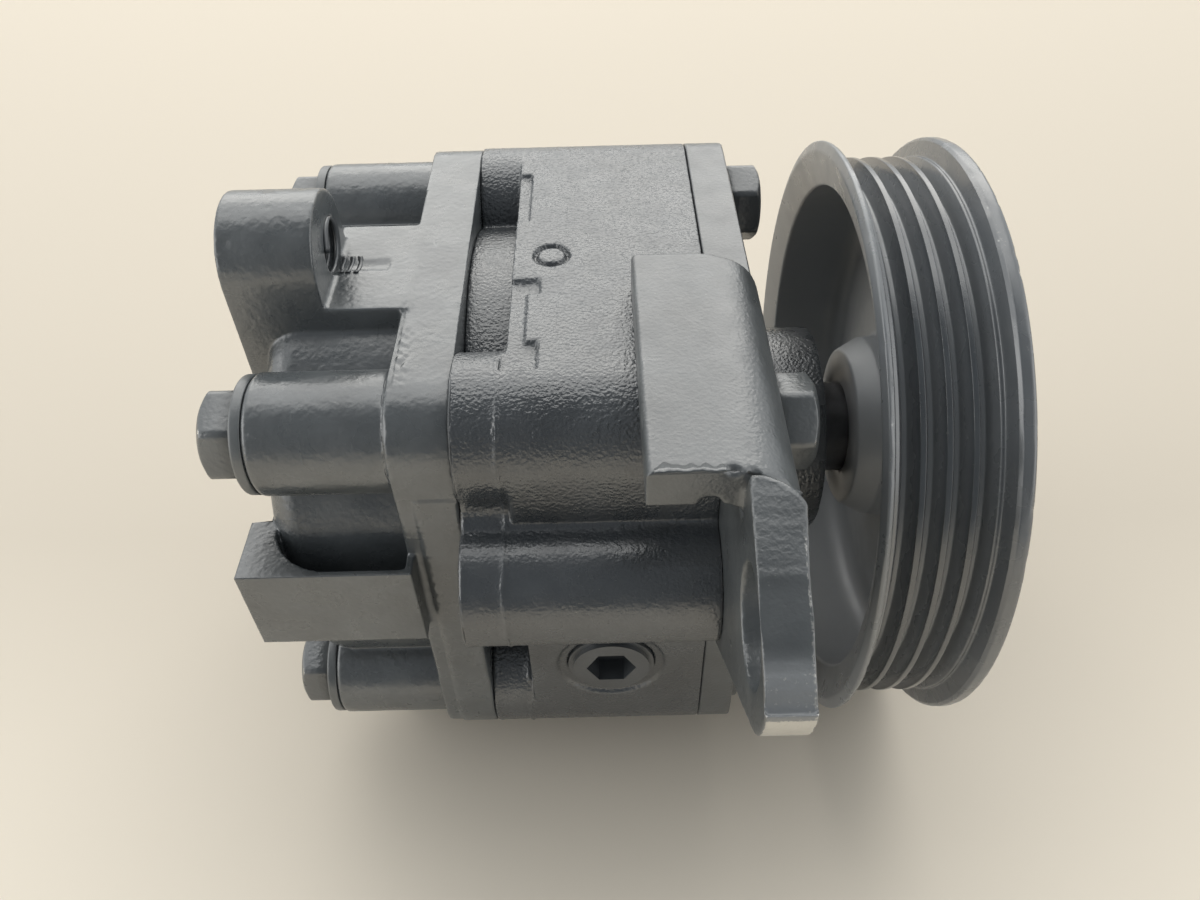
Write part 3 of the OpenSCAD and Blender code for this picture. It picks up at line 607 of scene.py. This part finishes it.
def joined(name, meshes):
    shape = bmesh.new()
    for mesh in meshes:
        shape.from_mesh(mesh)
    bmesh.ops.recalc_face_normals(shape, faces=shape.faces)
    result = bpy.data.meshes.new(name)
    shape.to_mesh(result)
    shape.free()
    return result


def hex_reach(angle, apothem, corner):
    turn = (angle + math.pi / 6) % (math.pi / 3) - math.pi / 6
    return min(apothem / math.cos(turn), corner)


def hex_head(seat_x, side, height, across_flats, turn_deg, at, hollow=0.0):
    """Hexagon head or nut along X from its seat, with rounded corners and a chamfered end."""
    steps = 144
    apothem = across_flats / 2
    corner = apothem / math.cos(math.pi / 6) - 0.22
    crown = across_flats * 0.45
    soft = 0.28
    corner_wear = (0.0, 0.2, 0.2, 0.3, 0.5, 0.4, 0.1, 0.05, 0.0)
    shoulder_wear = (0.0, 0.0, 0.0, 0.0, 0.12, 0.12, 0.0, 0.0, 0.0)
    last = len(corner_wear) - 1
    rings, wear = [], []

    def station(angle, k):
        reach = hex_reach(angle, apothem, corner)
        shoulder = height - max(0.0, reach - crown) * math.tan(math.pi / 6)
        return (
            (reach - soft, 0.0), (reach, soft * 0.6), (reach, shoulder * 0.5), (reach, shoulder - soft),
            (reach - soft * 0.3, shoulder - soft * 0.25), (reach - soft, shoulder + soft * 0.35),
            (min(reach - soft, crown + 0.25), height - 0.16), (crown - 0.3, height), (crown * 0.5, height),
        )[k]

    for k in range(last + 1):
        ring = []
        for i in range(steps):
            angle = 2 * math.pi * i / steps
            reach, up = station(angle, k)
            if hollow and k == last:
                reach = hollow
            tilt = angle + math.radians(turn_deg + 30)
            ring.append((seat_x + side * up, at[0] + reach * math.cos(tilt), at[1] + reach * math.sin(tilt)))
            edge = smooth_step(hex_reach(angle, apothem, corner), corner - 0.35, corner)
            wear.append(corner_wear[k] * edge + shoulder_wear[k])
        rings.append(ring)
    return grid_mesh("head", rings, True, wear)


def spun(profile, at=(0.0, 0.0), steps=96):
    """Turns a closed outline of radius and X about a line along X."""
    rings = []
    for i in range(steps):
        angle = 2 * math.pi * i / steps
        rings.append([(x, at[0] + r * math.cos(angle), at[1] + r * math.sin(angle)) for r, x in profile])
    rings.append(rings[0])
    mesh = grid_mesh("spun", rings, False)
    shape = bmesh.new()
    shape.from_mesh(mesh)
    bmesh.ops.remove_doubles(shape, verts=shape.verts, dist=1e-7)
    bmesh.ops.recalc_face_normals(shape, faces=shape.faces)
    shape.to_mesh(mesh)
    shape.free()
    return mesh


def rounded(corners, steps=5):
    """Closed outline whose corners, given as radius, X and fillet, are rounded."""
    outline = []
    for k, (r, x, fillet) in enumerate(corners):
        here = Vector((r, x))
        before = Vector(corners[k - 1][:2]) - here
        after = Vector(corners[(k + 1) % len(corners)][:2]) - here
        if fillet <= 0:
            outline.append((r, x))
            continue
        half = before.angle(after) / 2
        back = min(fillet / math.tan(half), before.length * 0.49, after.length * 0.49)
        start, end = here + before.normalized() * back, here + after.normalized() * back
        for i in range(steps + 1):
            t = i / steps
            point = start * (1 - t) ** 2 + here * (2 * t * (1 - t)) + end * t ** 2
            outline.append((point.x, point.y))
    return outline


def add_fasteners():
    paint = sprayed("bolt_black", BOLT_BLACK, 0.32, 0.7, 0.04, wear="wear")
    washer_paint = sprayed("washer_black", BOLT_BLACK, 0.38, 0.7, 0.015)
    bolt_r, across, washer_t = 4.0, 12.0, 1.6
    hole_r = bolt_r + 0.1
    rear_grip, front_grip = 17.0, 13.0
    sets = (
        ("cover_bolts", "cover_washers", X_SEAT, -1, 5.3, 8.4, X_JOINT + rear_grip),
        ("bracket_bolts", "bracket_washers", X_PLATE, 1, 6.3, 7.4, X_FACE - front_grip),
    )
    for bolts, washers, seat, side, head_h, washer_r, tip in sets:
        heads, discs = [], []
        top = seat + side * washer_t
        for at in CORNERS:
            turn = 45 if side > 0 and at == NEAR_TOP else 15
            heads.append(hex_head(top, side, head_h, across, turn, at))
            shank = [(0.01, top), (bolt_r, top), (bolt_r, tip + side * 0.6), (bolt_r - 0.6, tip), (0.01, tip)]
            heads.append(spun(shank, at, 48))
            ring = [(hole_r, seat, 0), (hole_r, top, 0), (washer_r, top, 0.45), (washer_r, seat, 0.25)]
            discs.append(spun(rounded(ring), at, 96))
        add_piece(bolts + "_hex", joined(bolts, heads), "housing", bolts, paint)
        add_piece(washers + "_disc", joined(washers, discs), "housing", washers, washer_paint)


def arc_bead(x, centre, radius, angles, half, height, seed):
    """Low ridge along an arc about a line along X, wandering a little; a negative height points inwards."""
    start, end = (math.radians(a) for a in angles)
    turns = np.linspace(start, end, max(12, int((end - start) * radius / 0.25)))
    along = np.stack([turns * radius, 0 * turns, 0 * turns], 1)
    wander = 0.4 * half * wave_noise(along, 3.0, seed)
    rise = height * (0.7 + 0.3 * wave_noise(along, 1.8, seed + 1))
    rings = []
    for turn, shift, up in zip(turns, wander, rise):
        section = ((-half, 0.0), (0.0, up), (half, 0.0), (0.0, -height))
        rings.append([(x + shift + across, centre[0] + (radius + out) * math.cos(turn),
                       centre[1] + (radius + out) * math.sin(turn)) for across, out in section])
    return grid_mesh("bead", rings)


def add_flash_lines():
    """Thin lines of flash where the moulds met, on the near column and on the valve boss."""
    column, boss = (80, 192), (140, 255)
    stations = (X_JOINT + 0.25, X_SLOT - 0.9)
    housing = [arc_bead(x, NEAR_TOP, CORNER_R, column, 0.16, 0.11, 81) for x in stations]
    housing += [arc_bead(x, VALVE_AT, VALVE_BOSS_R, boss, 0.16, 0.11, 83) for x in stations]
    paint = sprayed("flash_black", CAST_BLACK, 0.32, 0.5, 0.01)
    add_piece("housing_flash", joined("housing_flash", housing), "housing", None, paint)
    cover = arc_bead(X_FLANGE - 0.25, NEAR_TOP, COLUMN_R, (75, 215), 0.2, 0.13, 85)
    add_piece("cover_flash", joined("cover_flash", [cover]), "housing", None, paint)


def add_lug_thread():
    """Thread in the upper lug's hole, running out into the pad in front of it."""
    pitch, depth, per_turn = 1.25, 0.42, 40
    start, end = X_LUG + 0.6, X_LUG_FRONT + 0.175
    root_r, crest_r = LUG_HOLE_R + 0.05, LUG_HOLE_R - depth
    section = ((root_r, -0.46), (crest_r, -0.08), (crest_r, 0.08), (root_r, 0.46))
    count = int((end - start) / pitch * per_turn)
    rings = []
    for i in range(count + 1):
        angle = 2 * math.pi * i / per_turn
        x = start + pitch * i / per_turn
        ring = []
        for r, across in section:
            y, z = LUG_AT[0] + r * math.cos(angle), LUG_AT[1] + r * math.sin(angle)
            ring.append((x + across * pitch, y, z))
        rings.append(ring)
    turns = [grid_mesh("lug_thread", rings)]
    run_out_r, run_out = LUG_HOLE_R - 0.4, (238, 302)
    for k in range(3):
        x = X_LUG_FRONT + 0.7 + k * pitch
        turns.append(arc_bead(x, LUG_AT, run_out_r, run_out, 0.4, -0.11, 87 + k))
    mesh = joined("lug_thread", turns)
    paint = sprayed("thread_black", CAST_BLACK, 0.36, 0.6, 0.01)
    add_piece("lug_thread", mesh, "housing", None, paint)


# Rotating group


def pulley_outline():
    """Section of the pulley: hub, dished web, rolled left flange, ribs and the rounded right flange."""
    seat_r, hub_r, rim_r, flange_r = 7.5, 16.0, 42.2, 49.5
    crest_r, floor_r = CREST_R, CREST_R - 2.7
    hub_back, hub_face, web_t, web_out = -3.4, 6.6, 3.0, 3.6
    crest_half, floor_half, belt_half = 1.388, 0.39, 2 * RIB_PITCH
    web_back = hub_face - web_t
    corners = [
        (seat_r, hub_face, 0.0), (seat_r, hub_back, 0.0),
        (hub_r - 2.2, hub_back, 0.8), (hub_r, hub_back + 3.8, 1.4), (hub_r, web_back, 1.6),
        (rim_r, web_back + web_out, 4.5), (rim_r, -belt_half - 0.6, 0.7),
        (flange_r - 1.7, -belt_half - 2.35, 1.3), (flange_r, -belt_half - 1.8, 0.6),
        (flange_r - 0.3, -belt_half - 1.0, 0.3),
        (crest_r + 0.3, -belt_half - 0.3, 0.4), (crest_r, -belt_half + 0.4, 0.3),
    ]
    for groove in range(4):
        centre = (groove - 1.5) * RIB_PITCH
        if groove:
            corners += [(crest_r, centre - RIB_PITCH / 2, 0.0), (crest_r, centre - crest_half, 0.15)]
        corners += [(floor_r, centre - floor_half, 0.3), (floor_r, centre + floor_half, 0.3)]
        if groove < 3:
            corners.append((crest_r, centre + crest_half, 0.15))
    corners += [
        (crest_r, belt_half - 0.4, 0.4), (crest_r - 0.1, belt_half + 0.2, 0.4),
        (flange_r - 0.5, belt_half + 0.9, 0.12), (flange_r, belt_half + 1.4, 0.5),
        (flange_r, belt_half + 3.4, 2.2),
        (rim_r, hub_face + web_out - 0.3, 0.8), (hub_r - 1.0, hub_face, 0.6),
    ]
    return rounded(corners, 6)


def add_rotating_group():
    mesh = spun(pulley_outline(), steps=288)
    points, normals = points_of(mesh)
    x, y, z = points.T
    radius = np.hypot(y, z)
    rim = smooth_step(radius, 48.4, 49.3)
    scuffs = smooth_step(wave_noise(points, 2.2, 71), 0.45, 1.0) * rim
    set_points(mesh, points - normals * (0.12 * scuffs)[:, None])
    below_rims = radius < CREST_R + 0.4
    from_crest = np.abs(x - RIB_PITCH * np.round(x / RIB_PITCH))
    on_crest = smooth_step(radius, CREST_R - 0.4, CREST_R - 0.15) * below_rims
    crest = band(from_crest, 0.37, 0.10, 0.16) * on_crest
    angle = np.degrees(np.arctan2(z, -y))
    rubbed = band(angle, 68, 9, 8) * (x > 0) + band(angle, 52, 14, 8) * (x < 0)
    rim_wear = rim * (0.20 + 0.12 * rubbed) + scuffs * 0.26
    set_values(mesh, "wear", np.maximum(0.36 * crest, rim_wear))
    # Painted light: the pulley's hollow, hub and web are greyed as if lit from the left.
    inside = band(x, 0.0, 8.5, 1.0) * (1 - smooth_step(radius, 42.3, 43.0)) * (normals[:, 0] < 0.4)
    in_groove = band(x, 0.0, 7.0, 0.4) * band(radius, 44.6, 1.2, 0.6)
    left_side = smooth_step(-x, 8.0, 8.6)
    crest_top = smooth_step(radius, CREST_R - 0.5, CREST_R - 0.1) * below_rims * (np.abs(x) < 6.5)
    # Painted light: a grey lift over the pulley except its crest tops, stronger in the grooves and on the
    # left flange, where the lamps leave it too dark.
    painted_light_lift = 0.20 * (1 - crest_top) + 0.30 * in_groove + 0.20 * left_side
    set_values(mesh, "dust_and_painted_light", np.maximum(inside, painted_light_lift))
    polished = (0.42, 0.42, 0.41)
    paint = sprayed("pulley_black", PULLEY_BLACK, 0.20, 1.6, 0.008, wear="wear", dust_and_painted_light="dust_and_painted_light", metal=polished)
    add_piece("pulley_turned", mesh, "rotor_group", "pulley", paint)
    nut_paint = sprayed("nut_black", BOLT_BLACK, 0.34, 0.8, 0.015)
    nut_seat, nut_height, nut_across, nut_hole_r = 8.2, 9.0, 19.0, 6.05
    nut_head = hex_head(nut_seat, 1, nut_height, nut_across, 0, (0.0, 0.0), hollow=nut_hole_r)
    nut = joined("pulley_nut", [nut_head])
    add_piece("pulley_nut_hex", nut, "rotor_group", "pulley_nut", nut_paint)


# CAD nodes that keep their shape, and the valve spring


def dress_inner_nodes():
    steel = bare_metal("bare_steel", (0.55, 0.56, 0.58), 0.26, (0.1, 1, 1))
    # Darker steel for the drive shaft.
    dark_shaft = bare_metal("dark_shaft_steel", (0.16, 0.16, 0.165), 0.34, (0.1, 1, 1))
    ground = bare_metal("ground_steel", (0.50, 0.51, 0.53), 0.32, (1, 1, 0.1))
    bronze = bare_metal("bronze", (0.62, 0.46, 0.25), 0.34, (0.1, 1, 1))
    seal = rubber("seal_rubber")
    plug = sprayed("plug_black", CAST_BLACK, 0.34, 0.8, 0.02)
    looks = {
        dark_shaft: ("drive_shaft",),
        steel: ("valve_spool", "valve_spring", "valve_plug", "dowel_pins", "pulley_key", "rotor_snap_ring"),
        ground: ("cam_ring", "front_side_plate", "rear_side_plate", "rotor", "vanes"),
        bronze: ("front_bushing", "rear_bushing"),
        seal: ("oil_seal", "cover_o_ring", "side_plate_o_ring", "valve_plug_o_ring"),
        plug: ("side_plug", "pulley_lock_washer"),
    }
    for material, names in looks.items():
        for name in names:
            NODES[name].data.materials.clear()
            NODES[name].data.materials.append(material)
    add_valve_spring(steel)


def add_valve_spring(steel):
    """Own copy of the valve spring's mesh on the housing; in the pump the spring shortens towards the valve
    plug as the spool slides, which this mesh does not do.
    """
    mesh = welded_copy("valve_spring")
    along = points_of(mesh)[0][:, 0]
    spring = add_piece("valve_coil", mesh, "housing", "valve_spring", steel)
    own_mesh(spring)


add_camera()
add_world()
add_floor()
add_light("window_behind", (-0.05, 0.95, 0.56), (1.6, 0.62), 2.0, (1.0, 0.97, 0.91))
add_light("ceiling", (-0.1, 0.50, 1.1), (1.5, 0.8), 1.0, (1.0, 0.98, 0.94))
add_light("left_wall", (-1.2, -0.35, 0.45), (1.2, 0.8), 1.3, (1.0, 0.99, 0.97))
add_light("right_wall", (1.15, -0.35, 0.45), (1.2, 0.8), 0.6, (1.0, 0.99, 0.97))
add_castings()
add_bracket()
add_fasteners()
add_flash_lines()
add_lug_thread()
add_rotating_group()
dress_inner_nodes()
